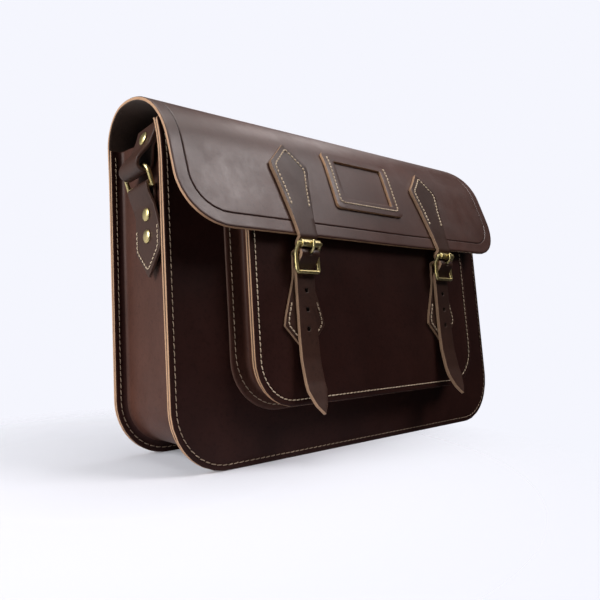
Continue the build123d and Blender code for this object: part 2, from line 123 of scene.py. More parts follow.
class Route:
    """A line in a plane that is read by its length; positive depth lies to its left."""

    def __init__(self, points):
        self.p = np.array(points, float)
        step = np.linalg.norm(np.diff(self.p, axis=0), axis=1)
        self.s = np.concatenate([[0], np.cumsum(step)])
        self.length = self.s[-1]
        t = np.gradient(self.p, self.s, axis=0)
        t /= np.linalg.norm(t, axis=1)[:, None]
        self.n = np.stack([-t[:, 1], t[:, 0]], 1)

    def at(self, s, depth=0.0):
        """The two coordinates at length s, moved to the left by depth."""
        out = []
        for k in (0, 1):
            out.append(np.interp(s, self.s, self.p[:, k]) + depth * np.interp(s, self.s, self.n[:, k]))
        return out

    def where(self, axis, value, first=0.0):
        """The length, past first, at which a coordinate that only falls reaches value."""
        kept = self.s >= first
        return np.interp(-np.asarray(value, float), -self.p[kept, axis], self.s[kept])


def walk(points, pitch):
    """Points along a line, one every pitch or so."""
    p = np.array(points, float)
    s = np.concatenate([[0], np.cumsum(np.linalg.norm(np.diff(p, axis=0), axis=1))])
    even = np.linspace(0, s[-1], max(2, round(s[-1] / pitch) + 1))
    return np.stack([np.interp(even, s, p[:, k]) for k in range(p.shape[1])], 1)


# ---- meshes --------------------------------------------------------------------------------------
def make_object(name, verts, faces, materials, indices=None):
    """A smooth-shaded mesh object from millimetre points."""
    mesh = bpy.data.meshes.new(name)
    points = [tuple(v) for v in np.asarray(verts, float) * MM]
    mesh.from_pydata(points, [], [tuple(int(i) for i in face) for face in faces])
    for material in materials:
        mesh.materials.append(material)
    if indices is not None:
        mesh.polygons.foreach_set("material_index", np.asarray(indices, np.int32))
    bm = bmesh.new()
    bm.from_mesh(mesh)
    bmesh.ops.remove_doubles(bm, verts=bm.verts, dist=1e-6)
    bmesh.ops.recalc_face_normals(bm, faces=bm.faces)
    bm.to_mesh(mesh)
    bm.free()
    mesh.shade_smooth()
    obj = bpy.data.objects.new(name, mesh)
    bpy.context.scene.collection.objects.link(obj)
    return obj


def ruled(length, start, end, pitch):
    """Grid lines along one side: close together at the worked edges and even between them."""
    a = list(start)
    b = [length - e for e in reversed(end)]
    n = max(1, round((b[0] - a[-1]) / pitch))
    return np.array(a + list(np.linspace(a[-1], b[0], n + 1)[1:-1]) + b)


def rim(inset, radius=1.0):
    """How far a face has turned down at this distance from its cut edge."""
    left = np.clip(radius - inset, 0, radius)
    return radius - np.sqrt(radius * radius - left * left)


def skin(name, across, along, inset, place, thickness, relief, materials):
    """A closed leather sheet over a grid: outer face, inner face and the cut edge all round.

    materials are the outer face, the cut edge, the flesh side and the bottom of a deep crease;
    across, along and inset are the grid's two coordinates and its distance from the cut edge;
    place(across, along, depth) gives x, y, z, and relief is how far the outer face is pressed in.
    """
    rows, cols = across.shape
    lip = rim(inset)
    outer = np.stack(place(across, along, lip + relief), -1).reshape(-1, 3)
    inner = np.stack(place(across, along, thickness - lip), -1).reshape(-1, 3)
    index = np.arange(rows * cols).reshape(rows, cols)
    quads = [index[:-1, :-1], index[:-1, 1:], index[1:, 1:], index[1:, :-1]]
    quads = np.stack(quads, -1).reshape(-1, 4)
    middle = inset[:-1, :-1] + inset[1:, 1:] + inset[:-1, 1:] + inset[1:, :-1]
    middle = middle.reshape(-1) / 4
    loop = np.concatenate([index[0, :-1], index[:-1, -1], index[-1, :0:-1], index[:0:-1, 0]])
    after = np.roll(loop, -1)
    shift = rows * cols
    wall = np.stack([loop, after, after + shift, loop + shift], -1)
    faces = np.concatenate([quads, quads[:, ::-1] + shift, wall])
    pressed = (relief[:-1, :-1] + relief[1:, 1:]).reshape(-1) / 2
    at_edge = middle < PALE_RIM
    outer_kinds = np.where(at_edge, EDGE, np.where(pressed > CREASE_DEPTH * 0.6, SHADE, FACE))
    kinds = np.concatenate([outer_kinds, np.where(at_edge, EDGE, FLESH), np.full(len(wall), EDGE)])
    return make_object(name, np.concatenate([outer, inner]), faces, materials, kinds)


def tub_grid(half, length, radii, insets, pitch):
    """Grid of a panel whose corners are round: x, length along the panel and distance from its edge."""
    x = ruled(2 * half, insets, insets, pitch[0]) - half
    x, s = np.meshgrid(x, ruled(length, insets, insets, pitch[1]))
    inset = np.minimum(half - abs(x), np.minimum(s, length - s))
    for radius, centre, way in ((radii[0], radii[0], -1), (radii[1], length - radii[1], 1)):
        a = np.maximum(abs(x) - (half - radius), 0)
        b = np.maximum(way * (s - centre), 0)
        round_off = np.maximum(a, b) / np.maximum(np.hypot(a, b), 1e-9)
        corner = (a > 0) & (b > 0)
        x = np.where(corner, np.sign(x) * (half - radius + a * round_off), x)
        s = np.where(corner, centre + way * b * round_off, s)
    return x, s, inset


def tub_line(half, bottom, top, radius):
    """The U from the left top down, along the bottom and up to the right top, with round corners."""
    low = bottom + radius
    return (
        [(-half, top)]
        + arc((-half + radius, low), radius, 180, 270)
        + arc((half - radius, low), radius, 270, 360)
        + [(half, top)]
    )


def groove(inset, at, width, depth):
    """A line pressed into the leather at a distance from its edge."""
    return depth * np.exp(-(((inset - at) / width) ** 2))


def wave(a, b, size, length, seed):
    """A slow unevenness of hand-cut leather, from a few crossing ripples."""
    rng = random.Random(seed)
    total = 0.0
    for _ in range(5):
        turn = rng.uniform(0, math.pi)
        phase = rng.uniform(0, 2 * math.pi)
        ripple = length * rng.uniform(0.7, 1.6)
        total = total + np.sin((a * math.cos(turn) + b * math.sin(turn)) * 2 * math.pi / ripple + phase)
    return size * total / 5


def cut_piece(name, outline, thickness, place, materials, holes=(), step=2.5, bevel=0.35):
    """A piece cut from flat leather and bent by place(x, s, depth): depth 0 is its outer face.

    It is cut across every step millimetres so that it can bend; small holes have dark walls.
    """
    curve = bpy.data.curves.new(name + "_flat", "CURVE")
    curve.dimensions = "2D"
    curve.fill_mode = "BOTH"
    curve.extrude = thickness / 2 - bevel
    curve.bevel_depth = bevel
    curve.bevel_resolution = 2
    curve.offset = -bevel
    for loop in (outline, *holes):
        spline = curve.splines.new("POLY")
        spline.points.add(len(loop) - 1)
        for point, (a, b) in zip(spline.points, loop):
            point.co = (a, b, 0, 1)
        spline.use_cyclic_u = True
    flat = bpy.data.objects.new(name + "_flat", curve)
    bpy.context.scene.collection.objects.link(flat)
    bpy.context.view_layer.update()
    mesh = bpy.data.meshes.new_from_object(flat.evaluated_get(bpy.context.evaluated_depsgraph_get()))
    bpy.data.objects.remove(flat)
    bpy.data.curves.remove(curve)
    mesh.name = name
    bm = bmesh.new()
    bm.from_mesh(mesh)
    bmesh.ops.remove_doubles(bm, verts=bm.verts, dist=1e-4)
    for axis, pitch in ((1, step), (0, 3 * step)):
        values = [v.co[axis] for v in bm.verts]
        normal = Vector((1 - axis, axis, 0))
        for cut in np.arange(min(values) + pitch, max(values), pitch):
            geom = bm.verts[:] + bm.edges[:] + bm.faces[:]
            bmesh.ops.bisect_plane(bm, geom=geom, dist=1e-4, plane_co=normal * cut, plane_no=normal)
    bm.normal_update()
    punched = [np.mean(loop, axis=0) for loop in holes if np.ptp(loop, axis=0).max() < 2 * PUNCHED]
    for face in bm.faces:
        kind = FACE if face.normal.z > 0 else FLESH
        if abs(face.normal.z) < 0.75:
            middle = face.calc_center_median()
            in_hole = any(math.hypot(middle.x - at[0], middle.y - at[1]) < PUNCHED for at in punched)
            kind = FLESH if in_hole else EDGE
        face.material_index = kind
        face.smooth = True
    for vert in bm.verts:
        x, y, z = place(vert.co.x, vert.co.y, thickness / 2 - vert.co.z)
        vert.co = Vector((float(x), float(y), float(z))) * MM
    bmesh.ops.recalc_face_normals(bm, faces=bm.faces)
    mesh.materials.clear()
    for material in materials:
        mesh.materials.append(material)
    bm.to_mesh(mesh)
    bm.free()
    obj = bpy.data.objects.new(name, mesh)
    bpy.context.scene.collection.objects.link(obj)
    return obj


def stitches(name, seams, place, seed, radius, material):
    """Thread along seams: one short rounded length per stitch, its ends sunk into the leather."""
    share, rise, sunk = 0.8, 0.25, 0.12
    rng = random.Random(seed)
    sides = 6
    turns = np.linspace(0, 2 * math.pi, sides + 1)[:-1]
    run = np.array([0.0, 0.12, 0.5, 0.88, 1.0])
    lift = np.array([-0.55, 0.0, 1.0, 0.0, -0.55])
    girth = np.array([0.55, 0.95, 1.0, 0.95, 0.55])
    verts, faces = [], []
    for seam in seams:
        for a, b in zip(seam[:-1], seam[1:]):
            middle, half = (a + b) / 2, (b - a) / 2 * share * rng.uniform(0.93, 1.04)
            slant = np.array([-half[1], half[0]]) * rng.uniform(0.05, 0.13)
            ends = middle - half - slant, middle + half + slant
            line = ends[0] + np.outer(run, ends[1] - ends[0])
            height = rise * lift + sunk
            low = np.stack(place(line[:, 0], line[:, 1], -height), -1)
            high = np.stack(place(line[:, 0], line[:, 1], -height - 1.0), -1)
            up = high - low
            along = np.gradient(low, axis=0)
            side = np.cross(along, up)
            side /= np.linalg.norm(side, axis=1)[:, None]
            up /= np.linalg.norm(up, axis=1)[:, None]
            first = len(verts)
            for k in range(len(run)):
                for t in turns:
                    out = math.cos(t) * side[k] + math.sin(t) * up[k]
                    verts.append(low[k] + radius * girth[k] * out)
            for k in range(len(run) - 1):
                low_ring = first + sides * k
                high_ring = low_ring + sides
                for j in range(sides):
                    n = (j + 1) % sides
                    faces.append((low_ring + j, low_ring + n, high_ring + n, high_ring + j))
            faces.append([first + j for j in range(sides)])
            faces.append([first + sides * (len(run) - 1) + j for j in range(sides)])
    return make_object(name, verts, faces, [material])


def lathe(name, profile, centre, axis, materials, sides=40):
    """A turned piece: profile is (radius, height) pairs, height measured along axis from centre."""
    turn = Vector((0, 0, 1)).rotation_difference(Vector(axis)).to_matrix()
    verts, faces = [], []
    for radius, height in profile:
        for k in range(sides):
            t = 2 * math.pi * k / sides
            rim_point = Vector((radius * math.cos(t), radius * math.sin(t), height))
            verts.append(Vector(centre) + turn @ rim_point)
    for row in range(len(profile) - 1):
        for k in range(sides):
            n = (k + 1) % sides
            low, high = row * sides, (row + 1) * sides
            faces.append((low + k, low + n, high + n, high + k))
    faces.append(list(range(sides)))
    faces.append([(len(profile) - 1) * sides + k for k in range(sides)])
    return make_object(name, verts, faces, materials)


# ---- materials -----------------------------------------------------------------------------------
def new_material(name):
    material = bpy.data.materials.new(name)
    material.use_nodes = True
    nodes = material.node_tree.nodes
    return material, nodes, material.node_tree.links, nodes["Principled BSDF"]


def noise_node(nodes, links, coords, scale, detail=4.0, rough=0.55, stretch=None):
    """Noise over the object's own coordinates, in cycles per metre."""
    source = coords.outputs["Object"]
    if stretch:
        mapping = nodes.new("ShaderNodeMapping")
        mapping.inputs["Scale"].default_value = stretch
        links.new(source, mapping.inputs["Vector"])
        source = mapping.outputs["Vector"]
    tex = nodes.new("ShaderNodeTexNoise")
    tex.inputs["Scale"].default_value = scale
    tex.inputs["Detail"].default_value = detail
    tex.inputs["Roughness"].default_value = rough
    links.new(source, tex.inputs["Vector"])
    return tex.outputs["Fac"]


def ramp_node(nodes, links, value, stops):
    ramp = nodes.new("ShaderNodeValToRGB")
    while len(ramp.color_ramp.elements) < len(stops):
        ramp.color_ramp.elements.new(0.5)
    for element, (at, colour) in zip(ramp.color_ramp.elements, stops):
        element.position = at
        element.color = (*colour, 1)
    links.new(value, ramp.inputs["Fac"])
    return ramp.outputs["Color"]


def mix_colour(nodes, links, fac, a, b, blend="MIX"):
    mix = nodes.new("ShaderNodeMix")
    mix.data_type = "RGBA"
    mix.blend_type = blend
    for socket, value in ((mix.inputs[0], fac), (mix.inputs[6], a), (mix.inputs[7], b)):
        if isinstance(value, bpy.types.NodeSocket):
            links.new(value, socket)
        else:
            socket.default_value = value if isinstance(value, (int, float)) else (*value, 1)
    return mix.outputs[2]


def map_range(nodes, links, value, low, high, a=0.0, b=1.0):
    node = nodes.new("ShaderNodeMapRange")
    for socket, number in zip(("From Min", "From Max", "To Min", "To Max"), (a, b, low, high)):
        node.inputs[socket].default_value = number
    links.new(value, node.inputs["Value"])
    return node.outputs["Result"]


def bump_chain(nodes, links, bsdf, layers):
    """Stacks bump layers: (height, strength, distance in metres)."""
    normal = None
    for height, strength, distance in layers:
        bump = nodes.new("ShaderNodeBump")
        bump.inputs["Strength"].default_value = strength
        bump.inputs["Distance"].default_value = distance
        links.new(height, bump.inputs["Height"])
        if normal:
            links.new(normal, bump.inputs["Normal"])
        normal = bump.outputs["Normal"]
    links.new(normal, bsdf.inputs["Normal"])


def leather_material(name, deep, light, rough=(0.36, 0.5), coat=0.12, gloss=0.5):
    """Waxed bridle leather: clouded colour, fine pores, faint long drawn marks and a soft shine."""
    material, nodes, links, bsdf = new_material(name)
    coords = nodes.new("ShaderNodeTexCoord")
    cloud = noise_node(nodes, links, coords, 14, 5, 0.6)
    fleck = noise_node(nodes, links, coords, 420, 3, 0.6)
    colour = ramp_node(nodes, links, cloud, [(0.3, deep), (0.72, light)])
    dark = tuple(c * 0.62 for c in deep)
    speck = map_range(nodes, links, fleck, 0.0, 0.55, 0.52, 0.75)
    colour = mix_colour(nodes, links, speck, colour, dark)
    links.new(colour, bsdf.inputs["Base Color"])
    pores = nodes.new("ShaderNodeTexVoronoi")
    pores.feature = "DISTANCE_TO_EDGE"
    pores.inputs["Scale"].default_value = 620
    links.new(coords.outputs["Object"], pores.inputs["Vector"])
    drawn = noise_node(nodes, links, coords, 60, 6, 0.7, stretch=(1.0, 1.0, 0.22))
    fine = noise_node(nodes, links, coords, 1500, 2, 0.5)
    shine = noise_node(nodes, links, coords, 45, 5, 0.65)
    links.new(map_range(nodes, links, shine, rough[0], rough[1], 0.3, 0.7), bsdf.inputs["Roughness"])
    bump_chain(nodes, links, bsdf, [
        (drawn, 0.22, 0.0006), (pores.outputs["Distance"], 0.14, 0.0002), (fine, 0.12, 0.0001),
    ])
    bsdf.inputs["Specular IOR Level"].default_value = gloss
    bsdf.inputs["Coat Weight"].default_value = coat
    bsdf.inputs["Coat Roughness"].default_value = 0.42
    return material


def edge_material(name, light, stain):
    """Cut leather edge: pale fibres with dye that has crept in from the faces."""
    material, nodes, links, bsdf = new_material(name)
    coords = nodes.new("ShaderNodeTexCoord")
    fibre = noise_node(nodes, links, coords, 520, 5, 0.65)
    blot = noise_node(nodes, links, coords, 42, 4, 0.6)
    colour = ramp_node(nodes, links, fibre, [(0.28, tuple(c * 0.72 for c in light)), (0.68, light)])
    colour = mix_colour(nodes, links, map_range(nodes, links, blot, 0.0, 0.55, 0.5, 0.78), colour, stain)
    links.new(colour, bsdf.inputs["Base Color"])
    bsdf.inputs["Roughness"].default_value = 0.62
    bump_chain(nodes, links, bsdf, [(fibre, 0.35, 0.0003)])
    return material


def flesh_material(name):
    """The rough inner side of the leather."""
    material, nodes, links, bsdf = new_material(name)
    coords = nodes.new("ShaderNodeTexCoord")
    nap = noise_node(nodes, links, coords, 900, 5, 0.7)
    cloud = noise_node(nodes, links, coords, 26, 5, 0.6)
    colour = ramp_node(nodes, links, cloud, [(0.3, (0.035, 0.018, 0.012)), (0.72, (0.075, 0.040, 0.025))])
    fibres = map_range(nodes, links, nap, 0.0, 0.5, 0.4, 0.75)
    colour = mix_colour(nodes, links, fibres, colour, (0.13, 0.075, 0.048))
    links.new(colour, bsdf.inputs["Base Color"])
    bsdf.inputs["Roughness"].default_value = 0.88
    bsdf.inputs["Sheen Weight"].default_value = 0.15
    bump_chain(nodes, links, bsdf, [(nap, 0.5, 0.0005)])
    return material


def thread_material(name, deep, light):
    """Waxed linen thread with a little dirt in its lay."""
    material, nodes, links, bsdf = new_material(name)
    coords = nodes.new("ShaderNodeTexCoord")
    lay = noise_node(nodes, links, coords, 1800, 2, 0.5)
    soil = noise_node(nodes, links, coords, 60, 3, 0.6)
    colour = ramp_node(nodes, links, soil, [(0.3, deep), (0.7, light)])
    links.new(colour, bsdf.inputs["Base Color"])
    bsdf.inputs["Roughness"].default_value = 0.6
    bump_chain(nodes, links, bsdf, [(lay, 0.5, 0.0002)])
    return material


def brass_material(name):
    """Solid brass, polished on a wheel and a little dulled in use."""
    material, nodes, links, bsdf = new_material(name)
    coords = nodes.new("ShaderNodeTexCoord")
    tarnish = noise_node(nodes, links, coords, 160, 5, 0.65)
    wear = noise_node(nodes, links, coords, 900, 3, 0.6, stretch=(0.25, 1.0, 1.0))
    colour = ramp_node(nodes, links, tarnish, [(0.34, (0.50, 0.40, 0.16)), (0.62, (0.76, 0.66, 0.34))])
    links.new(colour, bsdf.inputs["Base Color"])
    bsdf.inputs["Metallic"].default_value = 1.0
    links.new(map_range(nodes, links, tarnish, 0.42, 0.28, 0.3, 0.7), bsdf.inputs["Roughness"])
    bump_chain(nodes, links, bsdf, [(wear, 0.12, 0.0001)])
    return material


panel_leather = leather_material("panel_leather", (0.047, 0.0160, 0.0105), (0.086, 0.0300, 0.0200))
# A darker copy of the panel leather: painted shade on the front panel, the pocket face and the gusset's rear
# flange.
shaded_front_leather = leather_material(
    "shaded_front_leather", (0.022, 0.0072, 0.0058), (0.041, 0.0138, 0.0108), (0.42, 0.55), 0.0, 0.12
)
gusset_leather = leather_material(
    "gusset_leather", (0.055, 0.0215, 0.0150), (0.094, 0.038, 0.026), (0.42, 0.56), 0.0, 0.2
)
strap_leather = leather_material(
    "strap_leather", (0.034, 0.0140, 0.0092), (0.060, 0.0250, 0.0165), (0.38, 0.5), 0.04, 0.3
)
# Near-black leather for the bottom of the flap's pressed crease: painted shade in the groove.
crease_leather = leather_material(
    "crease_leather", (0.010, 0.005, 0.004), (0.018, 0.008, 0.006), (0.6, 0.7), 0.0, 0.2
)
raw_edge = edge_material("raw_edge", (0.54, 0.315, 0.18), (0.27, 0.135, 0.07))
strap_edge = edge_material("strap_edge", (0.42, 0.255, 0.155), (0.20, 0.108, 0.064))
dark_edge = edge_material("dark_edge", (0.13, 0.065, 0.045), (0.05, 0.024, 0.017))
flesh = flesh_material("flesh_side")
thread = thread_material("thread", (0.58, 0.44, 0.30), (0.80, 0.65, 0.48))
worn_thread = thread_material("worn_thread", (0.26, 0.185, 0.125), (0.44, 0.325, 0.23))
brass = brass_material("brass")
SHEET = [panel_leather, raw_edge, flesh, crease_leather]
PANEL = [shaded_front_leather, raw_edge, flesh]
GUSSET = [gusset_leather, raw_edge, flesh, dark_edge, shaded_front_leather]
STRAP = [strap_leather, strap_edge, flesh]
HOLDER = [strap_leather, dark_edge, flesh]

# ---- back panel, arch and flap: one long sheet ---------------------------------------------------
FLAP_SHORT = 1.8
slope = math.radians(90 - FRONT_ARCH_ANGLE)
arch_end = arc((ARCH_Y, FRONT_ARCH_Z), FRONT_ARCH_R, 90, 90 + FRONT_ARCH_ANGLE, 2)
sheet_route = Route(
    [(back_hi.y, z) for z in np.arange(0, ARCH_Z, 8)]
    + arc((ARCH_Y, ARCH_Z), BACK_ARCH_R, 0, 90, 3)
    + arch_end[1:]
    + [
        (arch_end[-1][0] - (arch_end[-1][1] - z) * math.tan(slope), z)
        for z in np.linspace(arch_end[-1][1] - 4, flap_lo.z + FLAP_SHORT, 12)
    ]
)
HINGE_S = ARCH_Z
FRONT_S = HINGE_S + math.pi / 2 * BACK_ARCH_R


def sheet_half(s):
    """The sheet is a touch wider over the flap than at the back."""
    t = np.clip((np.asarray(s, float) - HINGE_S + 40) / 80, 0, 1)
    return 1 + (flap_hi.x - PANEL_HALF) / PANEL_HALF * t * t * (3 - 2 * t)


def place_sheet(x, s, depth):
    free = np.clip((np.asarray(s, float) - FRONT_S) / (sheet_route.length - FRONT_S), 0, 1)
    sway = wave(x, s, 0.35, 210, 3) + free**3 * wave(x, 0 * x, 0.9, 150, 8)
    y, z = sheet_route.at(s, depth + sway)
    return x * sheet_half(s), y, z + free**3 * wave(x, 0 * x, 0.8, 190, 5)


def flap_s(z):
    """Length along the sheet of a height on the flap's front."""
    return sheet_route.where(1, z, FRONT_S)


SHEET_INSETS = (
    0, 0.12, 0.4, 0.8, 2.0, 3.3, SEAM_INSET, 4.7, 6.5, 8.9, 9.6, 10.0,
    CREASE - 0.3, CREASE, CREASE + 0.3, CREASE + 0.6, 11.6, 12.3, 16, 24, 32,
)
x, s, inset = tub_grid(PANEL_HALF, sheet_route.length, (PANEL_R, FLAP_R), SHEET_INSETS, (7.5, 4.5))
flap_share = 1 / (1 + np.exp(-(s - HINGE_S - 8) / 4))
flap_relief = groove(inset, CREASE, 0.42, CREASE_DEPTH)
back_relief = groove(inset, SEAM_INSET, 0.8, SEAM_DEPTH)
relief = flap_relief * flap_share + back_relief * (1 - flap_share)
sheet = skin("sheet_leather", x, s, inset, place_sheet, LEATHER, relief, SHEET)

# ---- front panel ---------------------------------------------------------------------------------
TUB_INSETS = (0, 0.12, 0.4, 0.8, 2.0, 3.3, SEAM_INSET, 4.7, 6.5, 12, 20, 32)


def lean(z):
    """How far the top of the bag's front leans back at a height."""
    return LEAN_R - np.sqrt(LEAN_R**2 - np.clip(np.asarray(z, float) - LEAN_Z, 0, LEAN_R) ** 2)


front_heights = list(np.arange(0, LEAN_Z, 8)) + list(np.linspace(LEAN_Z, front_hi.z, 14))
front_route = Route([(FRONT_Y + float(lean(z)), z) for z in front_heights])


def place_front(x, s, depth):
    y, z = front_route.at(s, -depth)
    return x, y + wave(x, s, 0.3, 230, 12), z


x, s, inset = tub_grid(PANEL_HALF, front_route.length, (PANEL_R, 5), TUB_INSETS, (9, 9))
relief = groove(inset, SEAM_INSET, 0.8, SEAM_DEPTH)
front = skin("front_panel_leather", x, s, inset, place_front, LEATHER, relief, PANEL)

# ---- main gusset: one strip, its two edges turned out against the panels -------------------------
FOLD_R = 3.5


def fold_section(first_q, first_y, last_q, last_y, radius):
    """Skin of a U-shaped strip in (inward, y): flange, fold, wall, fold, flange."""
    way = 1 if last_y > first_y else -1
    start = (-radius, first_y + way * radius)
    end = (-radius, last_y - way * radius)
    return Route(
        [(first_q, first_y)]
        + arc(start, radius, -90 * way, 0, 12)
        + [(0, y) for y in np.linspace(start[1], end[1], 8)[1:-1]]
        + arc(end, radius, 0, 90 * way, 12)
        + [(last_q, last_y)]
    )


gusset_route = Route(tub_line(WALL_X, FLANGE, gusset_hi.z, PANEL_R - FLANGE))
gusset_section = fold_section(
    -FLANGE, FRONT_Y + LEATHER + GUSSET_LEATHER, -FLANGE, back_lo.y - GUSSET_LEATHER, FOLD_R
)
GUSSET_DIP = 4.0


def place_gusset(v, u, depth):
    across = np.clip((v - FLANGE) / (gusset_section.length - 2 * FLANGE), 0, 1)
    from_top = np.minimum(u, gusset_route.length - u)
    dip = GUSSET_DIP * np.sin(math.pi * across) ** 2 * np.clip(1 - from_top / 60, 0, 1)
    u = u + np.where(u < gusset_route.length / 2, dip, -dip)
    sag = 1.6 * np.sin(math.pi * across) ** 2 * np.clip(np.minimum(from_top, 190 - from_top) / 60, 0, 1)
    q, y = gusset_section.at(v, -depth)
    x, z = gusset_route.at(u, q + sag + wave(v, u, 0.4, 120, 21))
    return x, y + lean(z) * (1 - across), z


STRIP_INSETS = (0, 0.12, 0.4, 0.8, 2.0, 4.0, 6.0)
v, u = np.meshgrid(
    ruled(gusset_section.length, STRIP_INSETS, STRIP_INSETS, 3.0),
    ruled(gusset_route.length, STRIP_INSETS, STRIP_INSETS, 5.0),
)
inset = np.minimum(np.minimum(v, gusset_section.length - v), np.minimum(u, gusset_route.length - u))
gusset = skin("gusset_strip", v, u, inset, place_gusset, GUSSET_LEATHER, 0 * inset, GUSSET)

# The gusset's rear flange takes the darker front leather: painted shade along the flange beside the back
# panel.
for face in gusset.data.polygons:
    if face.material_index == FACE and face.center.y / MM > back_lo.y - GUSSET_LEATHER - 1.2:
        face.material_index = FLANGE_SHADE

# ---- front pocket: gusset strip and face ---------------------------------------------------------
POCKET_WALL = 126.5
POCKET_WALL_Z = 46.5
POCKET_WALL_R = 27.5
POCKET_BASE_R = 42.0
pocket_route = Route(tub_line(POCKET_WALL, POCKET_WALL_Z, pocket_hi.z, POCKET_WALL_R))
BASE_FLANGE = pocket_base_hi.x - POCKET_WALL
BASE_BOTTOM = (POCKET_WALL_Z - pocket_base_lo.z) / BASE_FLANGE
FACE_FLANGE = pocket_hi.x - POCKET_WALL
pocket_section = fold_section(
    -BASE_FLANGE, FRONT_Y - POCKET_LEATHER, -FACE_FLANGE, pocket_hi.y + POCKET_LEATHER, 2.6
)


def place_pocket_strip(v, u, depth):
    q, y = pocket_section.at(v, depth)
    base = np.clip((BASE_FLANGE - v) / BASE_FLANGE, 0, 1)
    lowness = np.interp(u, pocket_route.s, pocket_route.n[:, 1]) ** 2
    q = np.where(base > 0, q * (1 - (1 - BASE_BOTTOM) * lowness), q)
    x, z = pocket_route.at(u, q + wave(v, u, 0.3, 90, 31))
    return x, y, z


v, u = np.meshgrid(
    ruled(pocket_section.length, STRIP_INSETS, STRIP_INSETS, 1.6),
    ruled(pocket_route.length, STRIP_INSETS, STRIP_INSETS, 4.0),
)
inset = np.minimum(np.minimum(v, pocket_section.length - v), np.minimum(u, pocket_route.length - u))
pocket_strip = skin("pocket_strip", v, u, inset, place_pocket_strip, POCKET_LEATHER, 0 * inset, GUSSET)
for face in pocket_strip.data.polygons:
    if face.material_index == EDGE and face.center.y / MM > FRONT_Y - POCKET_LEATHER - 1:
        face.material_index = SHADE

POCKET_R = 34.0
POCKET_SEAM = 4.5


def place_pocket(x, s, depth):
    return x, pocket_lo.y + depth + wave(x, s, 0.3, 140, 41), pocket_lo.z + s + 0 * x


x, s, inset = tub_grid(pocket_hi.x, pocket_hi.z - pocket_lo.z, (POCKET_R, 3), TUB_INSETS[:-1], (9, 9))
relief = groove(inset, POCKET_SEAM, 0.8, SEAM_DEPTH)
pocket = skin("pocket_face", x, s, inset, place_pocket, POCKET_LEATHER, relief, PANEL)

# ---- name window ---------------------------------------------------------------------------------
WINDOW_LEATHER = 2.2
OPENING_HALF = 30.0
OPENING_Z = (197.0, 231.0)


def rounded_box(half, low, high, radius):
    """Outline of a rectangle with round corners."""
    return (
        arc((half - radius, high - radius), radius, 0, 90, 15)
        + arc((-half + radius, high - radius), radius, 90, 180, 15)
        + arc((-half + radius, low + radius), radius, 180, 270, 15)
        + arc((half - radius, low + radius), radius, 270, 360, 15)
    )


def on_flap(points):
    """An outline drawn as (x, z) from the front, laid on the flap as (x, length)."""
    return [(px, float(flap_s(pz))) for px, pz in points]


def place_window(x, s, depth):
    return place_sheet(x, s, depth - WINDOW_LEATHER)


window = cut_piece(
    "name_window",
    on_flap(rounded_box(window_hi.x, window_lo.z, window_hi.z, 4.0)),
    WINDOW_LEATHER,
    place_window,
    [panel_leather, raw_edge, flesh],
    holes=[on_flap(rounded_box(OPENING_HALF, *OPENING_Z, 1.5))],
)

# ---- closing straps ------------------------------------------------------------------------------
STRAP_LEATHER = 2.8
STRAP_HALF = 9.0
STRAP_HOLES = (136.0, 121.5, 107.5, 93.5)
HOLE_R = 1.8
PRONG_HOLE = 148.6
PRONG_HOLE_R = 2.1
SPADE_HALF = 18.5
STRAP_TOP_R = FRONT_ARCH_R + STRAP_LEATHER / 2 + 0.1
strap_top = arc((ARCH_Y, FRONT_ARCH_Z), STRAP_TOP_R, 90 + 56, 90 + FRONT_ARCH_ANGLE, 2)
SLOPE_END = 159.2
strap_run = [
    (strap_top[-1][0] - (strap_top[-1][1] - SLOPE_END) * math.tan(slope), SLOPE_END),
    (-110.1, 157.5), (-110.1, 153.0), (-115.1, 148.0), (-107.4, 138.0), (-107.4, 120.0), (-107.4, 88.0),
    (-108.1, 72.0), (-110.7, 56.0), (-114.7, 43.0), (-118.7, 33.0),
]
strap_route = Route(soften(strap_top + strap_run, 2.0))


def strap_s(z):
    return strap_route.where(1, z)


def place_strap(offset):
    def place(x, s, depth):
        y, z = strap_route.at(s, depth - STRAP_LEATHER / 2)
        return x + offset, y, z

    return place


def spade(points):
    """A symmetric outline from its right half, top to bottom, as (half width, z)."""
    return [(px, pz) for px, pz in points] + [(-px, pz) for px, pz in reversed(points) if px > 0]


def eased(points, step=1.5):
    """A smooth curve through (half width, z) points that go down."""
    p = np.array(points, float)
    z = np.arange(p[0, 1], p[-1, 1], -step)
    slopes = np.gradient(p[:, 0], p[:, 1])
    out = []
    for value in z:
        k = min(len(p) - 2, int(np.sum(p[:, 1] > value)) - 1 if value < p[0, 1] else 0)
        (w0, z0), (w1, z1) = p[k], p[k + 1]
        t = (value - z0) / (z1 - z0)
        h = z1 - z0
        width = (
            (2 * t**3 - 3 * t**2 + 1) * w0
            + (t**3 - 2 * t**2 + t) * h * slopes[k]
            + (3 * t**2 - 2 * t**3) * w1
            + (t**3 - t**2) * h * slopes[k + 1]
        )
        out.append((float(width), float(value)))
    return out + [tuple(p[-1])]


strap_outline = spade(
    [(0, strap_hi.z), (9.0, 228.0), (SPADE_HALF, 219.0)]
    + eased([(SPADE_HALF, 214.5), (15.8, 203), (12.8, 187), (10.5, 174), (STRAP_HALF, 160)])
    + [(STRAP_HALF, z) for z in np.arange(155, 52, -5.0)]
    + [(STRAP_HALF, 50.0), (5.0, 40.0), (0.0, strap_lo.z)]
)


def ring_of(x, z, radius, to_s, sides=20):
    """A round hole as (x, length) points, drawn about a height."""
    centre = float(to_s(z))
    return [(x + px, centre + py) for px, py in arc((0, 0), radius, 0, 360 - 360 / sides, 360 / sides)]


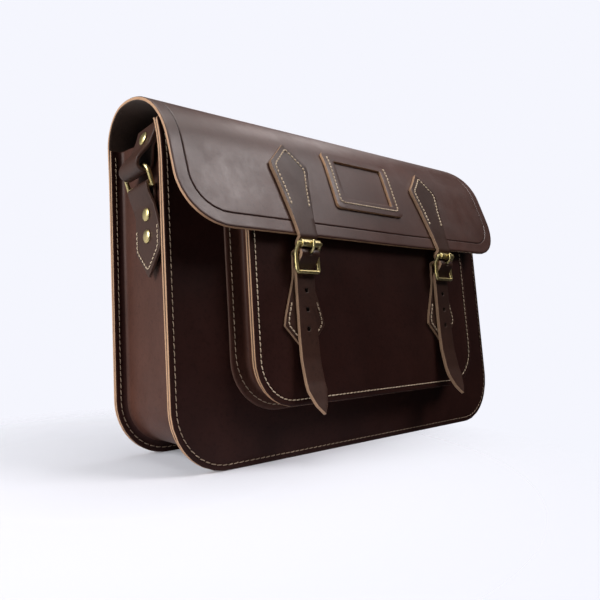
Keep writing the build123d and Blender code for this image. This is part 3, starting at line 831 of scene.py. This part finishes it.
strap_holes = [ring_of(0, z, HOLE_R, strap_s) for z in STRAP_HOLES]
strap_holes.append(ring_of(0, PRONG_HOLE, PRONG_HOLE_R, strap_s))
closing_straps = []
for side, offset in (("left", STRAP_X), ("right", -STRAP_X)):
    strap = cut_piece(
        f"strap_{side}",
        [(px, float(strap_s(pz))) for px, pz in strap_outline],
        STRAP_LEATHER,
        place_strap(offset),
        STRAP,
        holes=strap_holes,
        step=1.6,
    )
    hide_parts(f"closing_strap_{side}")
    closing_straps.append(strap)

# ---- buckle tabs ---------------------------------------------------------------------------------
TAB_LEATHER = 2.2
TAB_TIP_Z = 74.0
PRONG_SLOT_HALF = 2.7
PRONG_SLOT_Z = 139.5
CENTRE_BAR = (-107.4, 147.5)
tab_y = pocket_lo.y - TAB_LEATHER / 2
tab_route = Route(soften(
    [(tab_y, TAB_TIP_Z), (tab_y, 138.0), (tab_y - 0.6, 146.0)]
    + arc(CENTRE_BAR, 2.8, 20, 190, 15)
    + [(-109.8, 144.6), (-108.6, 142.4)], 0.8,
))


def place_tab(offset):
    def place(x, s, depth):
        y, z = tab_route.at(s, TAB_LEATHER / 2 - depth)
        return x + offset, y, z

    return place


tab_side = eased([(STRAP_HALF, 140), (STRAP_HALF, 134), (11.2, 125), (15.2, 113), (18.8, 102)])
tab_outline = [(0, 75.5), (20, 96)] + list(reversed(tab_side))
tab_end = tab_route.length - 0.5
tab_flat = [(px, pz - TAB_TIP_Z) for px, pz in tab_outline]
tab_flat += [(STRAP_HALF, tab_end), (PRONG_SLOT_HALF, tab_end), (PRONG_SLOT_HALF, PRONG_SLOT_Z - TAB_TIP_Z)]
tab_flat += [(-px, py) for px, py in reversed(tab_flat) if px > 0]

tabs = []
for side, offset in (("left", STRAP_X), ("right", -STRAP_X)):
    tab = cut_piece(f"tab_{side}", tab_flat, TAB_LEATHER, place_tab(offset), STRAP, step=1.6)
    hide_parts(f"buckle_tab_{side}")
    tabs.append(tab)

# ---- chapes: leather loops that hold the D-rings -------------------------------------------------
CHAPE_LEATHER = 2.4
RING_BAR = (-WALL_X - 2 * CHAPE_LEATHER + 0.2, 201.5)
RING_Y = MID_Y - 2.5
CHAPE_Y = MID_Y - 9.6
CHAPE_TIP_Z = 134.0
CHAPE_RIVETS = (180.8, 164.6)
chape_x = -WALL_X - 1.5 * CHAPE_LEATHER
chape_route = Route(soften(
    [(chape_x, CHAPE_TIP_Z), (chape_x, 188.0), (chape_x - 3.0, 198.5)]
    + arc(RING_BAR, 3.2, 165, 0, 15)
    + [(-WALL_X - CHAPE_LEATHER / 2, 198.0), (-WALL_X - CHAPE_LEATHER / 2, 157.0)], 0.8,
))


def place_chape(flip):
    def place(w, s, depth):
        x, z = chape_route.at(s, CHAPE_LEATHER / 2 - depth)
        return flip * x, CHAPE_Y + w + 0 * x, z

    return place


chape_top = chape_route.length - 1.0
chape_front = [(-7.4, chape_top)] + [(w, z - CHAPE_TIP_Z) for w, z in eased(
    [(-7.4, 196), (-9.6, 188), (-13.0, 180), (-16.6, 170), (-17.8, 163), (-17.8, 156)]
)]
chape_back = [(21.6, chape_top)] + [(w, z - CHAPE_TIP_Z) for w, z in eased(
    [(21.6, 196), (20.2, 188), (17.2, 180), (17.4, 170), (17.8, 163), (17.8, 156)]
)]
chape_flat = (
    chape_front + [(-17.8, 154.0 - CHAPE_TIP_Z), (0.0, 0.5), (17.8, 154.0 - CHAPE_TIP_Z)]
    + list(reversed(chape_back))
)
chapes = []
for side, flip in (("left", 1), ("right", -1)):
    chape = cut_piece(f"chape_loop_{side}", chape_flat, CHAPE_LEATHER, place_chape(flip), HOLDER, step=1.6)
    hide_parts(f"chape_{side}")
    chapes.append(chape)

# ---- shoulder strap: its ends go round the D-rings, the rest lies folded inside the bag ----------
SHOULDER_LEATHER = 2.8
SHOULDER_HALF = 14.5
SHOULDER_LEAN = math.radians(15)
SHOULDER_RIVET = 21.0
SHOULDER_SHEAR = 0.45
SHOULDER_REACH = 24.0
SHORT_PLY = 31.0
RING_LEAN = math.radians(18)
RING_HEIGHT = 15.5
RISER_X = 161.0
FOLD_X = 142.0
LAYER_Z = (14.4, 24.4, 34.4)
ring_top = (RING_BAR[0] - RING_HEIGHT * math.sin(RING_LEAN), RING_BAR[1] + RING_HEIGHT * math.cos(RING_LEAN))
leg = (math.sin(SHOULDER_LEAN), math.cos(SHOULDER_LEAN))


def leg_point(along, across):
    """Point beside the strap's end, along it from the ring and across towards the bag's inside."""
    return (
        ring_top[0] + along * leg[0] + across * leg[1],
        ring_top[1] + along * leg[1] - across * leg[0],
    )


def forward(z):
    """How far the strap's end leans towards the bag's front at a height."""
    return SHOULDER_SHEAR * np.clip(np.asarray(z, float) - ring_top[1], 0, SHOULDER_REACH)


ply = SHOULDER_LEATHER / 2
loop_angle = math.degrees(math.atan2(leg[1], leg[0]))
shoulder_start = (
    [leg_point(SHORT_PLY, -ply), leg_point(13, -ply)]
    + arc(leg_point(1.5, 0), 6.2, loop_angle + 60, loop_angle + 300, 12)
    + [leg_point(13, ply), leg_point(SHORT_PLY - 2, ply)]
    + [(-174.5, 250.5), (-168.5, 250.5), (-RISER_X, 243.5)]
)
left_rest = [
    (-RISER_X, 60.0), (-FOLD_X, LAYER_Z[0]), (FOLD_X, LAYER_Z[0]), (FOLD_X, LAYER_Z[1]), (0, LAYER_Z[1])
]
right_rest = [
    (-RISER_X, 60.0), (-RISER_X, LAYER_Z[2]), (FOLD_X, LAYER_Z[2]), (FOLD_X, LAYER_Z[1]), (0, LAYER_Z[1])
]

shoulder_halves = []
for side, flip, rest in (("left", 1, left_rest), ("right", -1, right_rest)):
    route = Route(soften(shoulder_start + rest, 1.6))
    v, u = np.meshgrid(
        ruled(2 * SHOULDER_HALF, STRIP_INSETS[:-2], STRIP_INSETS[:-2], 4.0) - SHOULDER_HALF,
        ruled(route.length, STRIP_INSETS[:-2], STRIP_INSETS[:-2], 2.0),
    )
    inset = np.minimum(SHOULDER_HALF - abs(v), np.minimum(u, route.length - u))

    def place_shoulder(w, s, depth, route=route, flip=flip):
        px, pz = route.at(s, depth - SHOULDER_LEATHER / 2)
        return flip * px, RING_Y + w - forward(pz), pz

    relief = groove(inset, 2.6, 0.5, 0.25)
    half = skin(f"shoulder_{side}", v, u, inset, place_shoulder, SHOULDER_LEATHER, relief, HOLDER)
    shoulder_halves.append((side, flip, half))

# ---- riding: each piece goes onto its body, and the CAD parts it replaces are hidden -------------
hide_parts("back_panel", "flap")
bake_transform(sheet)
for piece, node, slot_name in (
    (front, "front_panel", "panel_leather"),
    (gusset, "gusset", "gusset_leather"),
    (pocket_strip, "pocket_gusset", "gusset_leather"),
    (pocket, "pocket_panel", "panel_leather"),
):
    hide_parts(node)
    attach(piece, "bag")
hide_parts("window_frame")
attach(window, "flap")
for strap in closing_straps:
    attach(strap, "flap")
for piece in tabs + chapes:
    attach(piece, "bag")
for side, flip, half in shoulder_halves:
    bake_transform(half)
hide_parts("shoulder_strap")


# ---- stitching -----------------------------------------------------------------------------------
def thread_piece(name, seams, place, body, seed, pitch=STITCH_PITCH, radius=0.36, material=worn_thread):
    """Stitches a named piece of thread along seams, one stitch every pitch or so."""
    piece = stitches(name, [walk(seam, pitch) for seam in seams], place, seed, radius, material)
    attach(piece, body)


def u_seam(half, length, radius, side_inset, top_gap):
    """A seam down one side of a tub-shaped panel, round its bottom and up the other side."""
    return tub_line(half - side_inset, side_inset, length - top_gap, radius - side_inset)


seam = u_seam(PANEL_HALF, front_route.length, PANEL_R, SEAM_INSET, 6)
thread_piece("seam_front", [seam], place_front, "bag", 51)
gusset_lines = (SEAM_INSET, gusset_section.length - SEAM_INSET)
gusset_seams = [[(v, 5.0), (v, gusset_route.length - 5.0)] for v in gusset_lines]
thread_piece("seam_gusset", gusset_seams, place_gusset, "bag", 50)
seam = u_seam(PANEL_HALF, ARCH_Z, PANEL_R, SEAM_INSET, 10)
thread_piece("seam_back", [seam], place_sheet, "bag", 52)
seam = u_seam(pocket_hi.x, pocket_hi.z - pocket_lo.z, POCKET_R, POCKET_SEAM, 5)
thread_piece("seam_pocket", [seam], place_pocket, "bag", 53, 4.0, 0.4, thread)


def place_base(x, z, depth):
    return x, FRONT_Y - POCKET_LEATHER + depth + 0 * x, z


base_line = tub_line(
    pocket_base_hi.x - SEAM_INSET, pocket_base_lo.z + SEAM_INSET, pocket_hi.z - 5, POCKET_BASE_R - SEAM_INSET
)
thread_piece("seam_pocket_base", [base_line], place_base, "bag", 54)

window_seam = [
    (-window_hi.x + 5, window_hi.z - 4), (-window_hi.x + 5, window_lo.z + 5),
    (window_hi.x - 5, window_lo.z + 5), (window_hi.x - 5, window_hi.z - 4),
]
thread_piece("seam_window", [on_flap(walk(window_seam, 4.0))], place_window, "flap", 55, 3.2, 0.6, thread)

tab_seam = [(-12.6, 113.0), (-16.2, 101.5), (-17.0, 97.0), (0, 79.6)]
spade_seam = [(-8.9, 184.0), (-11.2, 199.0), (-14.4, 213.0), (-14.8, 216.6), (0, 231.4)]
for k, (side, offset) in enumerate((("left", STRAP_X), ("right", -STRAP_X))):
    seam = spade_seam + [(-px, pz) for px, pz in reversed(spade_seam[:-1])]
    seam = [(px, float(strap_s(pz))) for px, pz in walk(seam, 3.0)]
    thread_piece(f"seam_strap_{side}", [seam], place_strap(offset), "flap", 56 + k, 3.3, 0.55, thread)
    seam = tab_seam + [(-px, pz) for px, pz in reversed(tab_seam[:-1])]
    seam = [(px, pz - TAB_TIP_Z) for px, pz in seam]
    thread_piece(f"seam_tab_{side}", [seam], place_tab(offset), "bag", 58 + k, 3.6, 0.48, thread)
for k, (side, flip) in enumerate((("left", 1), ("right", -1))):
    seam = [(-15.2, 171), (-15.2, 155.2), (0, 139.5), (15.2, 155.2), (15.2, 171)]
    seam = [(w, z - CHAPE_TIP_Z) for w, z in seam]
    thread_piece(f"seam_chape_{side}", [seam], place_chape(flip), "bag", 60 + k, 3.6, 0.42, thread)

# ---- metal ---------------------------------------------------------------------------------------
for node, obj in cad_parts.items():
    if node.startswith(("roller", "prong", "d_ring")):
        obj.data.materials.clear()
        obj.data.materials.append(brass)
        obj.data.shade_smooth()


def wire_shell(points, radius, sides=14):
    """Vertices and faces of a round wire along a line, its ends closed."""
    p = np.array(points, float)
    t = np.gradient(p, axis=0)
    t /= np.linalg.norm(t, axis=1)[:, None]
    out = np.cross(t[0], (0.31, 0.53, 0.79))
    verts, faces = [], []
    for k in range(len(p)):
        out = out - t[k] * np.dot(out, t[k])
        out /= np.linalg.norm(out)
        other = np.cross(t[k], out)
        for j in range(sides):
            turn = 2 * math.pi * j / sides
            verts.append(p[k] + radius * (math.cos(turn) * out + math.sin(turn) * other))
    for k in range(len(p) - 1):
        for j in range(sides):
            n = (j + 1) % sides
            faces.append([k * sides + j, k * sides + n, (k + 1) * sides + n, (k + 1) * sides + j])
    faces.append(list(range(sides)))
    faces.append([(len(p) - 1) * sides + j for j in range(sides)])
    return verts, faces


FRAME_HALF = 10.9
FRAME_WIRE = 1.5
BAR_WIRE = 1.25
ROLLER_BAR = (-114.5, 154.8)
BOTTOM_BAR = (-111.5, 134.5)
half_rail = [(-FRAME_HALF, y, z) for y, z in (
    ROLLER_BAR, (-112.9, 152.3), (-111.1, 148.6), (-110.9, 141.0), BOTTOM_BAR,
)]
other_rail = [(-px, y, z) for px, y, z in reversed(half_rail)]
centre_half = [(-FRAME_HALF, -111.0, CENTRE_BAR[1]), (-FRAME_HALF + 0.8, CENTRE_BAR[0], CENTRE_BAR[1])]
centre_other = [(-px, y, z) for px, y, z in reversed(centre_half)]
top_half = (FRAME_HALF + 1.2, *ROLLER_BAR)
for side, offset in (("left", STRAP_X), ("right", -STRAP_X)):
    verts, faces = [], []
    for line, radius in (
        (soften(half_rail + other_rail, 1.5, 0.4), FRAME_WIRE),
        (soften(centre_half + centre_other, 0.8, 0.4), BAR_WIRE),
        ([(-top_half[0], *ROLLER_BAR), (0, *ROLLER_BAR), top_half], BAR_WIRE),
    ):
        shell_verts, shell_faces = wire_shell(np.array(line) + (offset, 0, 0), radius)
        faces += [[i + len(verts) for i in face] for face in shell_faces]
        verts += shell_verts
    buckle = make_object(f"frame_{side}", verts, faces, [brass])
    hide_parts(f"buckle_frame_{side}")
    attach(buckle, "bag")

DOME = [(4.5, -0.1), (5.0, 0.25), (5.0, 0.65), (4.7, 1.0), (3.7, 1.5), (2.3, 1.8), (1.0, 1.95), (0.15, 2.0)]
BURR = [(3.7, -0.1), (3.8, 0.5), (3.3, 0.9), (1.9, 1.0), (1.5, 1.3), (0.9, 1.35), (0.15, 1.2)]
for side, flip in (("left", 1), ("right", -1)):
    parts = []
    for k, z in enumerate(CHAPE_RIVETS):
        head_at = (-flip * (WALL_X + 2 * CHAPE_LEATHER), CHAPE_Y, z)
        burr_at = (-flip * (WALL_X - GUSSET_LEATHER), CHAPE_Y, z)
        parts.append(lathe(f"rivet_{side}_{k}", DOME, head_at, (-flip, 0, 0), [brass]))
        parts.append(lathe(f"burr_{side}_{k}", BURR, burr_at, (flip, 0, 0), [brass]))
    for part in parts:
        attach(part, "bag")
    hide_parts(f"chape_rivets_{side}")
    across = Vector((flip * leg[1], 0, -leg[0]))
    head = leg_point(SHOULDER_RIVET, -2 * ply)
    burr = leg_point(SHOULDER_RIVET, 2 * ply)
    rivet_y = RING_Y - float(forward(head[1]))
    strap_head = lathe(f"strap_rivet_{side}", DOME, (flip * head[0], rivet_y, head[1]), -across, [brass])
    strap_burr = lathe(f"strap_burr_{side}", BURR, (flip * burr[0], rivet_y, burr[1]), across, [brass])
    for part in (strap_head, strap_burr):
        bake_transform(part)
    if side == "left":
        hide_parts("strap_rivets")

# ---- camera --------------------------------------------------------------------------------------
YAW, PITCH, ROLL = (math.radians(a) for a in (32.35, 6.46, -2.14))
look = Vector((math.sin(YAW) * math.cos(PITCH), math.cos(YAW) * math.cos(PITCH), math.sin(PITCH)))
level = Vector((math.cos(YAW), -math.sin(YAW), 0))
rise = level.cross(look)
right = math.cos(ROLL) * level + math.sin(ROLL) * rise
up = -math.sin(ROLL) * level + math.cos(ROLL) * rise
camera_data = bpy.data.cameras.new("camera")
camera_data.sensor_width = 36
camera_data.lens = 31.05
camera_data.shift_x = 0.2042
camera_data.shift_y = -0.0305
camera_data.clip_start = 0.01
camera = bpy.data.objects.new("camera", camera_data)
camera.matrix_world = Matrix((
    (right.x, up.x, -look.x, -0.3653),
    (right.y, up.y, -look.y, -0.3749),
    (right.z, up.z, -look.z, 0.0888),
    (0, 0, 0, 1),
))
bpy.context.scene.collection.objects.link(camera)
bpy.context.scene.camera = camera


# ---- studio --------------------------------------------------------------------------------------
def area_light(name, azimuth, elevation, distance, size, power, colour=(1, 1, 1), target=(0, -0.04, 0.13)):
    """A softbox; azimuth 0 is straight in front of the bag and 90 is on its right."""
    a, e = math.radians(azimuth), math.radians(elevation)
    way = Vector((math.sin(a) * math.cos(e), -math.cos(a) * math.cos(e), math.sin(e)))
    light = bpy.data.lights.new(name, "AREA")
    light.shape = "RECTANGLE"
    light.size, light.size_y = size
    light.energy = power
    light.color = colour
    obj = bpy.data.objects.new(name, light)
    obj.location = Vector(target) + way * distance
    obj.rotation_euler = way.to_track_quat("Z", "Y").to_euler()
    bpy.context.scene.collection.objects.link(obj)


area_light("key", 35, 42, 1.7, (0.75, 0.6), 15, (1.0, 0.93, 0.925))
area_light("arch", 104, 53, 1.6, (0.5, 0.5), 2.4, (1.0, 0.93, 0.92))
area_light("top", -30, 84, 1.5, (1.2, 0.9), 13, (1.0, 0.98, 0.96))
area_light("side", -92, 22, 1.6, (0.9, 0.9), 23)

world = bpy.data.worlds.new("studio")
bpy.context.scene.world = world
world.use_nodes = True
nodes, links = world.node_tree.nodes, world.node_tree.links
seen = nodes["Background"]
seen.inputs["Color"].default_value = (0.914, 0.922, 0.991, 1)
fill = nodes.new("ShaderNodeBackground")
fill.inputs["Color"].default_value = (1.0, 0.96, 0.96, 1)
way = nodes.new("ShaderNodeSeparateXYZ")
links.new(nodes.new("ShaderNodeTexCoord").outputs["Generated"], way.inputs[0])
behind = map_range(nodes, links, way.outputs["Y"], 0.0, 0.55, 0.05, 0.5)
low = map_range(nodes, links, way.outputs["Z"], 1.7, 0.0, -0.2, 0.5)
backdrop = nodes.new("ShaderNodeMath")
backdrop.operation = "MULTIPLY_ADD"
backdrop.inputs[2].default_value = 0.03
links.new(behind, backdrop.inputs[0])
links.new(low, backdrop.inputs[1])
links.new(backdrop.outputs[0], fill.inputs["Strength"])
rays = nodes.new("ShaderNodeLightPath")
mix = nodes.new("ShaderNodeMixShader")
links.new(rays.outputs["Is Camera Ray"], mix.inputs["Fac"])
links.new(fill.outputs["Background"], mix.inputs[1])
links.new(seen.outputs["Background"], mix.inputs[2])
links.new(mix.outputs["Shader"], nodes["World Output"].inputs["Surface"])
bpy.context.scene.view_settings.view_transform = "Standard"

floor_mesh = bpy.data.meshes.new("floor")
bm = bmesh.new()
bmesh.ops.create_circle(bm, cap_ends=True, segments=96, radius=3.0)
bm.to_mesh(floor_mesh)
bm.free()
floor = bpy.data.objects.new("floor", floor_mesh)
bpy.context.scene.collection.objects.link(floor)
floor_paint, nodes, links, bsdf = new_material("floor_paint")
bsdf.inputs["Base Color"].default_value = (0.79, 0.806, 0.87, 1)
bsdf.inputs["Roughness"].default_value = 0.8
bsdf.inputs["Specular IOR Level"].default_value = 0.0
spread = nodes.new("ShaderNodeVectorMath")
spread.operation = "DISTANCE"
links.new(nodes.new("ShaderNodeTexCoord").outputs["Object"], spread.inputs[0])
spread.inputs[1].default_value = (-0.19, -0.01, 0)
links.new(map_range(nodes, links, spread.outputs["Value"], 0.85, 0.0, 0.13, 0.33), bsdf.inputs["Alpha"])
floor_mesh.materials.append(floor_paint)
